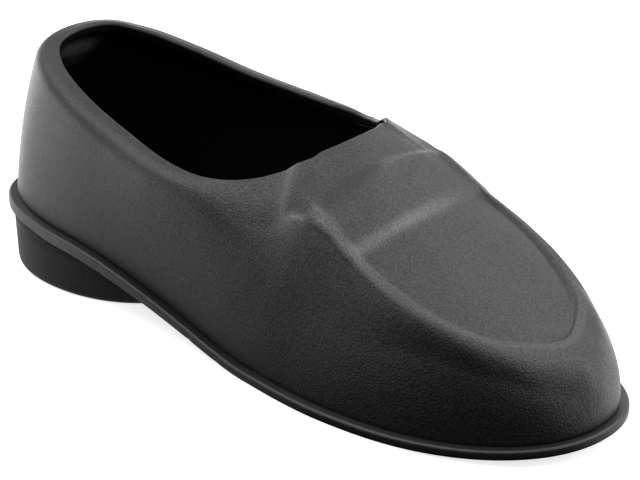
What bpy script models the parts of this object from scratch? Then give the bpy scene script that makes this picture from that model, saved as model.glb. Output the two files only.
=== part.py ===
"""Overshoe: a moulded slip-on upper with saddle and apron relief, a flanged outsole and a heel.

Frame: metres, toe towards +X, up +Z, right side of the shoe towards -Y, floor at Z = 0.
Tables are in millimetres, with x counted from the back edge of the sole.
"""
import bpy
import bmesh
import numpy as np

MM = 0.001

# Sole plate
SOLE_LENGTH = 300.0
SOLE_THICK = 4.0
HEEL_EXTRA = 1.0
SOLE_EDGE_ROUND = 0.9
HEEL_SEAT_HEIGHT = 20.5
HEEL_SEAT_END = 60.0
FOREFOOT_START = 162.0
FOREFOOT_END = 225.0
TOE_SPRING = 5.4
HEEL_END_POWER = 2.6
TOE_END_POWER = 2.15
TOE_SWING = -8.5
SWING_START = 105.0
# columns: x, half width of the sole before its rounded ends
SOLE_HALF = ((0.0, 49.6), (60.0, 49.6), (126.0, 46.6), (204.0, 58.6), (300.0, 66.0))

# Heel
HEEL_BACK = 5.0
HEEL_FRONT = 102.0
HEEL_HALF_WIDTH = 41.5
HEEL_POWER = 2.1
HEEL_TAPER = 0.8
HEEL_EDGE_ROUND = 2.0

# Upper
GAP = 0.3
WALL = 3.0
RIM_THICK = 4.6
RIM_WIDTH = 8.8
RIM_DROP = 1.4
FLANGE = 3.8
# columns: q (0 heel back, 1 toe tip), x, half width, z of the inner edge of the collar
COLLAR_EDGE = (
    (0.00, 30.3, 0.0, 93.6),
    (0.07, 33.4, 13.8, 92.8),
    (0.14, 42.8, 22.4, 90.0),
    (0.24, 65.0, 30.4, 83.4),
    (0.33, 90.0, 35.4, 77.8),
    (0.41, 118.0, 40.6, 73.6),
    (0.48, 138.0, 40.4, 73.0),
    (0.54, 154.0, 34.6, 76.0),
    (0.60, 168.3, 24.5, 82.3),
    (0.72, 172.5, 16.8, 85.2),
    (0.86, 175.2, 8.6, 86.8),
    (1.00, 176.0, 0.0, 87.3),
)
# columns: q, x, half width, z of the seam ridge, from the quarter round the apron
TOP_LINE = (
    (0.40, 115.0, 49.0, 72.4),
    (0.46, 138.0, 49.5, 69.0),
    (0.53, 163.0, 47.5, 62.5),
    (0.60, 187.0, 36.8, 72.2),
    (0.66, 207.0, 37.6, 62.4),
    (0.73, 226.0, 39.0, 54.9),
    (0.80, 243.0, 37.6, 49.0),
    (0.87, 258.0, 32.6, 44.0),
    (0.935, 271.0, 22.0, 39.6),
    (1.00, 280.5, 0.0, 36.2),
)
TOP_BLEND_START = 0.42
TOP_BLEND_END = 0.56
# columns: q, bulge of the wall beyond a straight line from sole to top line
WALL_BULGE = ((0.0, 2.0), (0.25, 2.0), (0.45, 3.0), (0.6, 5.0), (0.8, 6.5), (1.0, 5.0))

# Relief on the front
# columns: x, ridge height, half width, crown of the front surface
FRONT_FORM = (
    (160.0, 81.5, 37.0, 7.0),
    (187.0, 72.2, 36.8, 6.0),
    (207.0, 62.4, 37.6, 5.0),
    (226.0, 54.9, 39.0, 5.0),
    (243.0, 49.0, 37.6, 4.2),
    (258.0, 44.0, 32.6, 3.2),
    (271.0, 39.6, 22.0, 1.6),
    (281.0, 36.0, 8.0, 0.0),
)
CROWN_POWER = 2.8
SADDLE_REAR_X = 187.0
SADDLE_REAR_BOW = 3.0
SADDLE_FRONT_X = 208.0
SADDLE_FRONT_BOW = 3.0
SADDLE_HALF = 38.0
SADDLE_RISE = 1.5
SADDLE_FRONT_STEP = 4.2
SADDLE_REAR_STEP = 1.6
APRON_SINK = 1.3
RIDGE_WIDTH = 3.4

# Mesh counts
RAYS = 36
WALL_ROWS = 8
TOP_ROWS = 14
SOLE_STATIONS = 44
HEEL_POINTS = 40


def smooth_table(rows, at, column, mirror=()):
    """Cubic curve through a table; mirror gives the sign of the column beyond each end."""
    rows = np.array(rows, float)
    key = rows[:, 0]
    val = rows[:, column]
    if len(mirror) == 2:
        key = np.concatenate([[2 * key[0] - key[1]], key, [2 * key[-1] - key[-2]]])
        val = np.concatenate([[mirror[0] * val[1]], val, [mirror[1] * val[-2]]])
    slope = np.gradient(val, key)
    at = np.clip(np.asarray(at, float), rows[0, 0], rows[-1, 0])
    i = np.clip(np.searchsorted(key, at, side="right") - 1, 0, len(key) - 2)
    h = key[i + 1] - key[i]
    t = (at - key[i]) / h
    a = (1 + 2 * t) * (1 - t) ** 2 * val[i] + t * (1 - t) ** 2 * h * slope[i]
    b = t * t * (3 - 2 * t) * val[i + 1] + t * t * (t - 1) * h * slope[i + 1]
    return a + b


def step(low, high, at):
    t = np.clip((np.asarray(at, float) - low) / (high - low), 0.0, 1.0)
    return t * t * (3 - 2 * t)


def centre(x):
    reach = np.clip((np.asarray(x, float) - SWING_START) / (SOLE_LENGTH - SWING_START), 0.0, 1.0)
    return TOE_SWING * reach ** 2


def sole_bottom(x):
    x = np.asarray(x, float)
    drop = 1 - step(HEEL_SEAT_END, FOREFOOT_START, x)
    lift = np.clip((x - FOREFOOT_END) / (SOLE_LENGTH - FOREFOOT_END), 0.0, 1.0)
    return HEEL_SEAT_HEIGHT * drop + TOE_SPRING * lift ** 2


def sole_thick(x):
    """Thickness of the sole plate, greater under the heel."""
    return SOLE_THICK + HEEL_EXTRA * (1 - step(HEEL_SEAT_END, FOREFOOT_START, x))


def sole_point(q, inset=0.0):
    """Plan point of the sole's edge for q on the right side, moved in by inset."""
    q = np.asarray(q, float)
    c = np.cos(np.pi * q)
    x = SOLE_LENGTH * (1 - c) / 2
    power = np.where(c > 0, HEEL_END_POWER, TOE_END_POWER)
    end = np.clip(1 - np.abs(c) ** power, 0.0, 1.0) ** (1 / power)
    y = smooth_table(SOLE_HALF, x, 1) * end
    d = 1e-4
    if inset == 0.0:
        return x, y
    xa, ya = sole_point(q - d)
    xb, yb = sole_point(q + d)
    ya = np.where(q - d < 0, -ya, ya)
    yb = np.where(q + d > 1, -yb, yb)
    run = np.hypot(xb - xa, yb - ya)
    nx = -(yb - ya) / run
    ny = (xb - xa) / run
    return x - inset * nx, np.maximum(y - inset * ny, 0.0)


def collar_point(q, side):
    x = smooth_table(COLLAR_EDGE, q, 1, (1, 1))
    y = smooth_table(COLLAR_EDGE, q, 2, (-1, -1))
    z = smooth_table(COLLAR_EDGE, q, 3, (1, 1))
    return np.stack([x, centre(x) + side * y, z], -1)


def outward(q, side):
    """Plan direction pointing out of the shoe, square to the collar at the rear."""
    a = collar_point(np.maximum(q - 0.004, 0.0), 1)
    b = collar_point(np.minimum(q + 0.004, 1.0), 1)
    run = b - a
    run[q <= 0.004] = (0.0, 1.0, 0.0)
    out = np.stack([-run[:, 1], run[:, 0], 0 * q], -1)
    out /= np.linalg.norm(out, axis=1)[:, None]
    out[:, 1] *= side
    return out


def top_point(q, side):
    rim = collar_point(q, side) + RIM_WIDTH * outward(q, side)
    rim[:, 2] -= RIM_DROP
    x = smooth_table(TOP_LINE, q, 1, (1, 1))
    y = smooth_table(TOP_LINE, q, 2, (1, -1))
    z = smooth_table(TOP_LINE, q, 3, (1, 1))
    ridge = np.stack([x, centre(x) + side * y, z], -1)
    w = step(TOP_BLEND_START, TOP_BLEND_END, q)[:, None]
    return rim * (1 - w) + ridge * w


def foot_point(q, side):
    x, y = sole_point(q, FLANGE)
    return np.stack([x, centre(x) + side * y, sole_bottom(x) + sole_thick(x) + GAP], -1)


def wall_rows(q, side, rows):
    """Outer wall from the sole to the top line, bulged square to its own chord."""
    foot = foot_point(q, side)
    top = top_point(q, side)
    chord = top - foot
    flat = np.hypot(chord[:, 0], chord[:, 1])
    away = -chord[:, :2] / np.maximum(flat, 1e-6)[:, None]
    edge = np.stack([foot[:, 0] - SOLE_LENGTH / 2, foot[:, 1] - centre(foot[:, 0])], -1)
    edge /= np.linalg.norm(edge, axis=1)[:, None]
    rear = 1 - step(0.45, 0.65, q)[:, None]
    out = outward(q, side)[:, :2] * rear + edge * (1 - rear)
    out /= np.linalg.norm(out, axis=1)[:, None]
    lean = np.maximum((away * out).sum(1) * flat, 0.0)
    length = np.hypot(lean, chord[:, 2])
    normal = np.stack([out[:, 0] * chord[:, 2], out[:, 1] * chord[:, 2], lean], -1) / length[:, None]
    bulge = smooth_table(WALL_BULGE, q, 1)
    t = np.linspace(0.0, 1.0, rows)
    lift = np.sin(np.pi * t) ** 0.8
    body = foot[:, None] + chord[:, None] * t[None, :, None]
    return body + normal[:, None] * (bulge[:, None] * lift[None])[..., None]


def front_height(x, y):
    """Height of the front surface before relief, crowned between the two ridges."""
    ridge = smooth_table(FRONT_FORM, x, 1)
    half = smooth_table(FRONT_FORM, x, 2)
    crown = smooth_table(FRONT_FORM, x, 3)
    across = np.clip(np.abs(y - centre(x)) / half, 0.0, 1.0)
    return ridge + crown * (1 - across ** CROWN_POWER)


def saddle_line(x, bow, y):
    return x + bow * np.clip(1 - ((y - centre(x)) / SADDLE_HALF) ** 2, 0.0, 1.0)


def front_relief(x, y, from_ridge):
    """Saddle raised, apron sunk inside its ridge."""
    ahead = x - saddle_line(SADDLE_FRONT_X, SADDLE_FRONT_BOW, y)
    behind = x - saddle_line(SADDLE_REAR_X, SADDLE_REAR_BOW, y)
    apron = step(-SADDLE_FRONT_STEP / 2, SADDLE_FRONT_STEP / 2, ahead)
    strap = step(-SADDLE_REAR_STEP / 2, SADDLE_REAR_STEP / 2, behind) * (1 - apron)
    groove = step(0.4 * RIDGE_WIDTH, 1.3 * RIDGE_WIDTH, from_ridge)
    return SADDLE_RISE * strap - APRON_SINK * apron * groove


def line_crossing(x, bow, top, edge):
    t = np.full(len(top), 0.5)
    for _ in range(8):
        y = top[:, 1] + (edge[:, 1] - top[:, 1]) * t
        t = (saddle_line(x, bow, y) - top[:, 0]) / np.minimum(edge[:, 0] - top[:, 0], -1e-3)
    return t


def top_rows(q, side, rows):
    """Outer top from the ridge or rim shoulder to the collar's inner edge."""
    top = top_point(q, side)
    edge = collar_point(q, side)
    front = line_crossing(SADDLE_FRONT_X, SADDLE_FRONT_BOW, top, edge)
    rear = line_crossing(SADDLE_REAR_X, SADDLE_REAR_BOW, top, edge)
    span = np.linalg.norm((edge - top)[:, :2], axis=1)
    is_front = step(0.57, 0.63, q)[:, None]
    half = SADDLE_FRONT_STEP / 2 / span
    back = SADDLE_REAR_STEP / 2 / span
    ridge = RIDGE_WIDTH / span
    keys = [0.5 * ridge, 1.3 * ridge, front * 0.35, front * 0.7, front - half, front, front + half]
    keys += [front * 0.5 + rear * 0.5, rear - back, rear, rear + back]
    keys += [rear + (1 - rear) * k for k in (0.3, 0.6, 0.85)]
    keys = np.stack(keys, 1)
    least = 0.012
    count = keys.shape[1]
    for k in range(count):
        floor = least if k == 0 else keys[:, k - 1] + least
        keys[:, k] = np.maximum(keys[:, k], floor)
    for k in range(count - 1, -1, -1):
        roof = 1 - least if k == count - 1 else keys[:, k + 1] - least
        keys[:, k] = np.minimum(keys[:, k], roof)
    place_on = np.linspace(0.0, 1.0, rows)
    keys = np.stack([np.interp(place_on, np.linspace(0.0, 1.0, count), row) for row in keys])
    even = np.linspace(0.0, 1.0, rows + 2)[1:-1]
    t = even[None] * (1 - is_front) + keys * is_front
    base = top[:, None] + (edge - top)[:, None] * t[..., None]
    x = base[..., 0]
    y = base[..., 1]
    start = (top[:, 2] - front_height(top[:, 0], top[:, 1]))[:, None]
    end = (edge[:, 2] - front_height(edge[:, 0], edge[:, 1]))[:, None]
    tall = front_height(x, y) + start * (1 - t) ** 3 + end * t ** 3
    tall += front_relief(x, y, t * span[:, None]) * step(0.60, 0.66, q)[:, None]
    rim = base[..., 2] - RIM_DROP * t
    rim += RIM_DROP * np.sqrt(np.clip(1 - np.clip(1 - t * 2.2, 0.0, 1.0) ** 2, 0.0, 1.0))
    base[..., 2] = rim * (1 - is_front) + tall * is_front
    return base


def grid_normals(grid):
    along = np.roll(grid, -1, 0) - np.roll(grid, 1, 0)
    up = np.gradient(grid, axis=1)
    n = np.cross(along, up)
    return n / np.linalg.norm(n, axis=2)[..., None]


def around(rays):
    q = np.linspace(0.0, 1.0, rays + 1)
    return q, q[1:-1][::-1]


def upper_grid(rays, wall_count, top_count):
    """Closed profiles, one per ray, running round the shoe."""
    q_right, q_left = around(rays)
    outer = []
    for q, side in ((q_right, -1.0), (q_left, 1.0)):
        wall = wall_rows(q, side, wall_count)
        top = top_rows(q, side, top_count)
        edge = collar_point(q, side)
        outer.append(np.concatenate([wall, top, edge[:, None]], 1))
    outer = np.concatenate(outer, 0)
    q_all = np.concatenate([q_right, q_left])
    normal = grid_normals(outer)
    thick = np.full(outer.shape[:2], WALL)
    rear = 1 - step(0.5, 0.6, q_all)
    thick[:, wall_count:] += (RIM_THICK - WALL) * rear[:, None]
    inner = outer - normal * thick[..., None]
    last = outer[:, -1].copy()
    last[:, 2] -= thick[:, -1]
    inner[:, -1] = last
    foot = outer[:, 0].copy()
    flat = normal[:, 0].copy()
    flat[:, 2] = 0.0
    flat /= np.linalg.norm(flat, axis=1)[:, None]
    foot -= flat * WALL
    foot[:, 2] = sole_bottom(foot[:, 0]) + sole_thick(foot[:, 0]) + GAP
    inner[:, 0] = foot
    return np.concatenate([outer, inner[:, ::-1]], 1)


def place(points):
    """From table millimetres to the part's frame."""
    out = np.array(points, float)
    out[..., 0] -= SOLE_LENGTH / 2
    out[..., 1] -= SIDE_SHIFT
    return out * MM


def side_shift():
    q = np.linspace(0.0, 1.0, 400)
    x, y = sole_point(q)
    return 0.5 * ((centre(x) + y).max() + (centre(x) - y).min())


def make_material(name, tone, rough):
    mat = bpy.data.materials.new(name)
    mat.use_nodes = True
    shader = mat.node_tree.nodes["Principled BSDF"]
    shader.inputs["Base Color"].default_value = (tone, tone, tone, 1.0)
    shader.inputs["Roughness"].default_value = rough
    return mat


def add_object(name, verts, faces, mat, home):
    mesh = bpy.data.meshes.new(name)
    mesh.from_pydata([tuple(v) for v in verts], [], faces)
    mesh.validate()
    bm = bmesh.new()
    bm.from_mesh(mesh)
    bmesh.ops.recalc_face_normals(bm, faces=bm.faces)
    bmesh.ops.triangulate(bm, faces=bm.faces)
    bm.to_mesh(mesh)
    bm.free()
    mesh.materials.append(mat)
    obj = bpy.data.objects.new(name, mesh)
    home.objects.link(obj)
    return obj


def ring_faces(rings, count):
    faces = []
    for i in range(rings):
        j = (i + 1) % rings
        for k in range(count):
            m = (k + 1) % count
            faces.append((i * count + k, j * count + k, j * count + m, i * count + m))
    return faces


def make_upper(mat, home):
    grid = place(upper_grid(RAYS, WALL_ROWS, TOP_ROWS))
    faces = ring_faces(grid.shape[0], grid.shape[1])
    return add_object("upper", grid.reshape(-1, 3), faces, mat, home)


def loop_plate(loops, pair_count):
    """Closed plate from stacked loops that share stations, with ruled strips top and bottom."""
    size = len(loops[0])
    verts = np.concatenate(loops, 0)
    faces = []
    for level in range(len(loops) - 1):
        for k in range(size):
            m = (k + 1) % size
            a = level * size
            b = a + size
            faces.append((a + k, a + m, b + m, b + k))
    for level in (0, len(loops) - 1):
        a = level * size
        faces.append((a, a + 1, a + size - 1))
        for k in range(1, pair_count - 1):
            faces.append((a + k, a + k + 1, a + size - k - 1, a + size - k))
        faces.append((a + pair_count - 1, a + pair_count, a + pair_count + 1))
    return verts, faces


def make_outsole(mat, home):
    q = np.linspace(0.0, 1.0, SOLE_STATIONS + 1)
    loops = []
    r = SOLE_EDGE_ROUND
    for inset, rise, upper_edge in ((r, 0.0, 0.0), (0.0, r, 0.0), (0.0, -r, 1.0), (r, 0.0, 1.0)):
        x, y = sole_point(q, inset)
        z = sole_bottom(x) + rise + upper_edge * sole_thick(x)
        right = np.stack([x, centre(x) - y, z], -1)
        left = np.stack([x, centre(x) + y, z], -1)[1:-1][::-1]
        loops.append(place(np.concatenate([right, left], 0)))
    verts, faces = loop_plate(loops, SOLE_STATIONS)
    return add_object("outsole", verts, faces, mat, home)


def make_heel(mat, home):
    a = np.linspace(0.0, 2 * np.pi, HEEL_POINTS, endpoint=False)
    mid = (HEEL_BACK + HEEL_FRONT) / 2
    long_half = (HEEL_FRONT - HEEL_BACK) / 2
    ex = np.sign(np.cos(a)) * np.abs(np.cos(a)) ** (2 / HEEL_POWER)
    ey = np.sign(np.sin(a)) * np.abs(np.sin(a)) ** (2 / HEEL_POWER)
    loops = []
    for inset, z in ((HEEL_TAPER + HEEL_EDGE_ROUND, 0.0), (HEEL_TAPER, HEEL_EDGE_ROUND), (0.0, None)):
        x = mid - (long_half - inset) * ex
        y = -(HEEL_HALF_WIDTH - inset) * ey
        level = sole_bottom(x) - GAP if z is None else np.full(len(x), z)
        loops.append(place(np.stack([x, y, level], -1)))
    verts, faces = loop_plate(loops, HEEL_POINTS // 2)
    return add_object("heel", verts, faces, mat, home)


for old in list(bpy.data.objects):
    bpy.data.objects.remove(old, do_unlink=True)
SIDE_SHIFT = side_shift()
home = bpy.data.collections.new("overshoe")
bpy.context.scene.collection.children.link(home)
make_upper(make_material("upper rubber", 0.03, 0.5), home)
make_outsole(make_material("outsole rubber", 0.025, 0.55), home)
make_heel(make_material("heel rubber", 0.025, 0.55), home)
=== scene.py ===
"""Looks of a moulded rubber overshoe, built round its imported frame.

The file is laid out as an add-on: one operator makes each piece, and a panel in the sidebar lists them.
Tables are in millimetres, with x counted from the back edge of the sole, as in the part's source.
"""
import math
from types import SimpleNamespace

import bpy
import numpy as np
from mathutils import Matrix, Vector


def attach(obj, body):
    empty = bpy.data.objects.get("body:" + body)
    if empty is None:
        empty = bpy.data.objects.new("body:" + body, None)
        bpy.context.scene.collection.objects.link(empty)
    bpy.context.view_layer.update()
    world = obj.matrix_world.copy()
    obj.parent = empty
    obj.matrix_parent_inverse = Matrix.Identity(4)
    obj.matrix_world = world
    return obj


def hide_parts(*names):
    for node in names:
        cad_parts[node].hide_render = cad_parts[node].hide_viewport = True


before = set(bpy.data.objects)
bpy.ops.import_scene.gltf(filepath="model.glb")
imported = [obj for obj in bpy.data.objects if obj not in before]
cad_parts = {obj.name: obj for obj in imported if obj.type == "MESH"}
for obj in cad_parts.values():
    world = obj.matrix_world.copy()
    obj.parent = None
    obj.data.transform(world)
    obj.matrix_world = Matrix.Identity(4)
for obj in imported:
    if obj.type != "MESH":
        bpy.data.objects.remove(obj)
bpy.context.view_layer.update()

bl_info = {
    "name": "Moulded overshoe",
    "version": (1, 0, 0),
    "blender": (4, 5, 0),
    "location": "View3D > Sidebar > Overshoe",
    "description": "Builds a slip-on rubber overshoe and a plain stage for it",
    "category": "Add Mesh",
}

MM = 0.001
IMAGE_SIZE = (640, 480)

# Sole plate
SOLE_LENGTH = 300.0
SOLE_THICK = 4.0
HEEL_EXTRA = 1.0
HEEL_SEAT_HEIGHT = 20.5
HEEL_SEAT_END = 60.0
FOREFOOT_START = 162.0
FOREFOOT_END = 225.0
TOE_SPRING = 5.4
HEEL_END_POWER = 2.6
TOE_END_POWER = 2.15
TOE_SWING = -8.5
SWING_START = 105.0
# columns: x, half width of the sole before its rounded ends
SOLE_HALF = ((0.0, 49.6), (60.0, 49.6), (126.0, 46.6), (204.0, 58.6), (300.0, 66.0))
# columns: x, width, depth of small nicks in the right edge of the sole
SOLE_NICKS = ((82.0, 1.2, 0.3), (130.0, 1.2, 0.3), (146.0, 1.2, 0.25))
SOLE_FACE_INSET = 9.0

# Heel
HEEL_BACK = 5.0
HEEL_FRONT = 102.0
HEEL_HALF_WIDTH = 41.5
HEEL_POWER = 2.1
HEEL_TAPER = 0.8
HEEL_FOOT_INSET = 5.0
HEEL_TOP_INSET = 6.0

# Upper
GAP = 0.3
FLANGE = 3.8
RIM_WIDTH = 8.8
LIP_EDGE = 1.3
# columns: q (0 heel back, 1 toe tip), x, half width, z of the inner edge of the collar
COLLAR_EDGE = (
    (0.00, 30.3, 0.0, 94.4),
    (0.07, 33.4, 13.8, 93.5),
    (0.14, 42.8, 22.4, 90.0),
    (0.24, 65.0, 30.4, 83.4),
    (0.33, 90.0, 35.4, 77.8),
    (0.41, 118.0, 40.6, 73.6),
    (0.48, 138.0, 40.4, 73.0),
    (0.54, 154.0, 34.6, 76.0),
    (0.60, 168.3, 24.5, 82.3),
    (0.72, 172.5, 16.8, 85.2),
    (0.86, 175.2, 8.6, 86.8),
    (1.00, 176.0, 0.0, 87.3),
)
# columns: q, how much higher the collar's left edge stands than its right one
LEFT_LIFT = (
    (0.12, 0.0), (0.24, 1.0), (0.42, 1.1), (0.48, 1.7), (0.54, 3.0),
    (0.585, 2.6), (0.63, 1.3), (0.72, 0.6), (0.80, 0.0),
)
# columns: q, how much slimmer the left side of the toe is than the right one
LEFT_SLIM = ((0.68, 0.0), (0.78, 1.2), (0.87, 2.4), (0.94, 1.0), (1.0, 0.0))
# where the slimming comes in across the shoe and fades down the wall and in on the top
SLIM_SIDE = (-4.0, 8.0)
SLIM_DOWN = (14.0, 40.0)
SLIM_IN = (3.0, 16.0)
# columns: q, x, half width, z of the seam ridge, from the quarter round the apron
TOP_LINE = (
    (0.40, 115.0, 49.0, 72.4),
    (0.46, 138.0, 49.5, 69.0),
    (0.53, 163.0, 47.5, 62.5),
    (0.60, 187.0, 36.8, 72.2),
    (0.66, 207.0, 37.6, 62.4),
    (0.73, 226.0, 39.0, 54.9),
    (0.80, 243.0, 37.6, 49.0),
    (0.87, 258.0, 32.6, 44.0),
    (0.935, 271.0, 22.0, 39.6),
    (1.00, 280.5, 0.0, 36.2),
)
TOP_BLEND = (0.42, 0.56)
# columns: q, reach down the wall and reach in from the top line of the rounded shoulder
SHOULDER = (
    (0.00, 2.4, 2.4),
    (0.10, 3.6, 3.6),
    (0.20, 4.4, 4.4),
    (0.40, 6.0, 5.6),
    (0.48, 10.0, 8.5),
    (0.55, 13.0, 9.5),
    (0.59, 12.0, 8.0),
    (0.615, 9.0, 5.0),
    (0.68, 7.0, 6.0),
    (0.78, 6.0, 6.0),
    (0.90, 4.0, 4.0),
    (1.00, 3.0, 3.0),
)
# most of the wall and of the top that the rounding may take up
SHOULDER_MOST = (0.6, 0.9)
# columns: q, bulge of the wall beyond a straight line from sole to top line
WALL_BULGE = ((0.0, 2.0), (0.25, 2.0), (0.45, 3.0), (0.6, 5.0), (0.8, 6.5), (1.0, 5.0))
BULGE_POWER = 0.8
# q over which the wall turns from facing out of the collar to facing out of the sole
WALL_TURN = (0.45, 0.65)
# columns: x, ridge height, half width, crown of the front surface
FRONT_FORM = (
    (160.0, 81.5, 37.0, 7.0),
    (187.0, 72.2, 36.8, 6.0),
    (207.0, 62.4, 37.6, 5.0),
    (226.0, 54.9, 39.0, 5.0),
    (243.0, 49.0, 37.6, 4.2),
    (258.0, 44.0, 32.6, 3.2),
    (271.0, 39.6, 22.0, 1.6),
    (281.0, 36.0, 8.0, 0.0),
)
CROWN_POWER = 2.8
SADDLE_REAR_X = 187.0
SADDLE_REAR_BOW = 3.0
SADDLE_FRONT_X = 208.0
SADDLE_FRONT_BOW = 3.0
SADDLE_HALF = 38.0

# Tongue panel, its ends on the wall and its raised corner
# columns: x, z of a point on the edge, its lean, and the share of a distance that lies square to it
PANEL_END = (167.3, 82.0, 0.5, 0.8)
PANEL_FOOT = (179.5, 67.3, 0.8, 0.78)
PANEL_CORNER = 1.8
PANEL_SOFT_EDGE = (-3.4, 2.4)
PANEL_FIRM_EDGE = (-2.6, 1.6)
PANEL_FIRM = 0.65
HOLLOW_FADES = (5.0, 34.0)
HOLLOW_ENDS = (174.0, 193.0)
# rows: centre on the right side, reach, height
PANEL_NUB = ((180.0, 40.5, 67.6), (2.8, 3.2, 2.0), 0.9)
NOTCH_X = 184.5
NOTCH_REACH = (1.2, 4.0)

# Seam ridge, with a bevel that begins at the saddle and softens towards the toe
BEVEL_START = 187.0
BEVEL_BLUR = 1.2
BEVEL_SOFTENS = (208.0, 234.0)
BEVEL_SHARE = 0.4
BEVEL_EDGE = 0.3
BEVEL_SHORT_FALL = (-0.6, 2.0)
BEVEL_LONG_FALL = (0.0, 14.0)
# columns: q, distance from the top line to the inner edge of the ridge
RIDGE_INNER = ((0.58, 3.4), (0.66, 4.6), (0.76, 4.8), (0.86, 3.4), (1.0, 2.0))
RIDGE_FULL = 0.14
RIDGE_SPREAD = 0.8
SADDLE_SIDE = (-0.2, 1.0)
STRAP_SINK = 0.25
STRAP_EDGE = (-0.4, 0.9)
APRON_TOE_LOSS = 0.45
# columns: x, length of the rounded fall from the ridge down the wall, its fullness
WALL_ROLL = ((195.0, 40.0, 1.2), (225.0, 31.0, 1.25), (250.0, 23.0, 1.3))
ROLL_EASE = 2.4
ROLL_BEGINS = (125.0, 210.0)
ROLL_LEFT_LOSS = 0.7
MIDDLE = (-4.0, 4.0)

# Places along q where a detail comes in, and where it goes out again
FRONT_ROWS = (0.57, 0.63)
FRONT_IN = (0.575, 0.615)
TOE_IN = (0.70, 1.0)
BEVEL_IN = (0.56, 0.59)
ROLL_IN = (0.42, 0.58)
HOLLOW_IN = (0.44, 0.52)
HOLLOW_OUT = (0.62, 0.66)
NOTCH_IN = (0.55, 0.58)
NOTCH_OUT = (0.62, 0.64)
PANEL_PAINT_IN = (0.50, 0.54)
PANEL_PAINT_OUT = (0.60, 0.64)
LIP_OUT = (0.5, 0.6)
GRAIN_IN = (0.3, 0.6)
GRAIN_REAR = 0.35

# Rubbed wear and painted light: above zero paler and shinier, for rubbed wear and for painted highlights;
# below zero duller, for painted shade
WEAR_AND_PAINT_LIMITS = (-0.6, 1.25)
RUB_RIDGE_MIDDLE = 1.0
RUB_RIDGE_FULL = 1.9
RUB_RIDGE_FADE = 1.6
RUB_RIDGE_CRISP = 0.32
RUB_RIDGE_AMOUNT = (0.3, 0.45)
RUB_STRAP = 1.1
RUB_STRAP_LOSS = 0.8
RUB_STRAP_FADES = (-12.0, 30.0)
# where the painted light on the saddle's rear slope and inside the panel's end changes from the near side to
# the far side
PAINT_FAR_SIDE = (-10.0, 4.0)
# painted highlight on the far side and painted shade on the near side of the saddle's rear slope: their
# amounts, and how wide they spread
REAR_SLOPE_PAINT = (0.5, -0.6)
REAR_SLOPE_PAINT_SPREAD = 1.5
# painted highlight along the tongue panel's end, where its end face catches light; columns: amount, distance
# inside the panel's edge, reach
PANEL_PAINTED_HIGHLIGHT = (1.0, -0.4, 2.2)
# painted shade inside the tongue panel's near end, where it curls down; columns: amount, distance inside the
# panel's edge, reach
PANEL_PAINTED_SHADE = (0.5, 7.0, 3.6)
# rows: centre, reach, amount of the painted highlight: a paler lit patch painted on the back wall inside
INSIDE_PAINTED_HIGHLIGHT = ((20.9, 6.0, 81.5), (8.0, 8.5, 3.6), 3.0)

# Mesh counts
RAY_BANDS = ((0.0, 0.44, 56), (0.44, 0.70, 74), (0.70, 1.0, 70))
WALL_ROWS = 50
TOP_ROWS = 84
WALL_CROWDING = 1.35
TOP_LEAST = 0.012
SLOPE_MARGIN = 1.3
INNER_STEP = 4
LIP_ARC = 4
SOLE_STATIONS = 260
SOLE_BENDS = 5
HEEL_POINTS = 180
HEEL_BENDS = 6
HEEL_LEVELS = (0.4, 0.7, 1.0)

# Surface of the upper and of the pieces beside it
# columns: lowest and highest grain height, share of a peak at each
GRAIN_PEAKS = (0.60, 1.05, 0.0, 1.0)
# columns: grain pitch in metres, grain depth, gloss, and a painted light and shade factor on the rubber's
# colour: the inside and the heel painted darker as shade, the outsole painted paler as light
INSIDE_FINISH_AND_SHADE = (0.002, 0.0, 0.1, 0.35)
OUTSOLE_FINISH_AND_LIGHT = (0.0010, 0.3, 1.3, 1.2)
HEEL_FINISH_AND_SHADE = (0.0010, 0.25, 0.36, 0.5)

# Camera, read from the photograph's outlines
CAMERA_AZIMUTH = 48.64
CAMERA_ELEVATION = 24.52
CAMERA_ROLL = -0.516
CAMERA_DISTANCE = 1.1985
CAMERA_FOCUS_PX = 3138.4
CAMERA_TARGET = (0.0066, 0.0021, 0.0384)
SENSOR_WIDTH = 36.0

# Light that the floor sends up to the shoe
# columns: from and to along the shoe in metres, light at each end
FLOOR_NEAR = (0.055, -0.45, 0.0, 2.3)
FLOOR_FAR = (-0.2, 0.2, 4.2, 1.45)
# columns: from and to in metres across the shoe, share of the far side
FLOOR_DIVIDE = (-0.03, 0.05, 0.0, 1.0)

# Soft boxes round the shoe, all at one distance
LIGHT_DISTANCE = 1.6
LIGHT_COLOUR = (1.0, 0.97, 0.98)
# columns: name, azimuth from +X towards +Y in degrees, elevation in degrees, width, height, radiance
LIGHTS = (
    ("light_back_right", 52.0, 41.0, 1.7, 0.8, 3.25),
    ("light_back_mid", 98.0, 46.0, 1.0, 0.8, 2.0),
    ("light_heel_side", 184.0, 48.0, 1.5, 0.9, 2.35),
    ("light_near_left", 238.0, 56.0, 0.9, 0.7, 3.0),
    ("light_near", 285.0, 45.0, 0.8, 0.8, 0.5),
    ("light_toe_side", 0.0, 40.0, 0.8, 0.8, 1.7),
    ("light_toe_near", 330.0, 30.0, 0.8, 0.6, 1.5),
    ("light_overhead", 270.0, 86.0, 1.5, 1.5, 1.9),
    ("light_low_right", 62.0, 10.0, 1.2, 0.8, 1.55),
    ("light_low_back", 120.0, 12.0, 1.0, 0.6, 1.6),
    ("light_low_toe", 6.0, 9.0, 0.9, 0.6, 1.0),
    ("light_low_heel", 178.0, 20.0, 0.9, 0.6, 0.5),
    ("light_low_left", 216.0, 22.0, 0.9, 0.6, 0.8),
    ("light_low_near", 233.0, 15.0, 0.8, 0.4, 1.6),
    ("light_horizon", 170.0, 3.0, 1.2, 0.5, 3.4),
)


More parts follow.
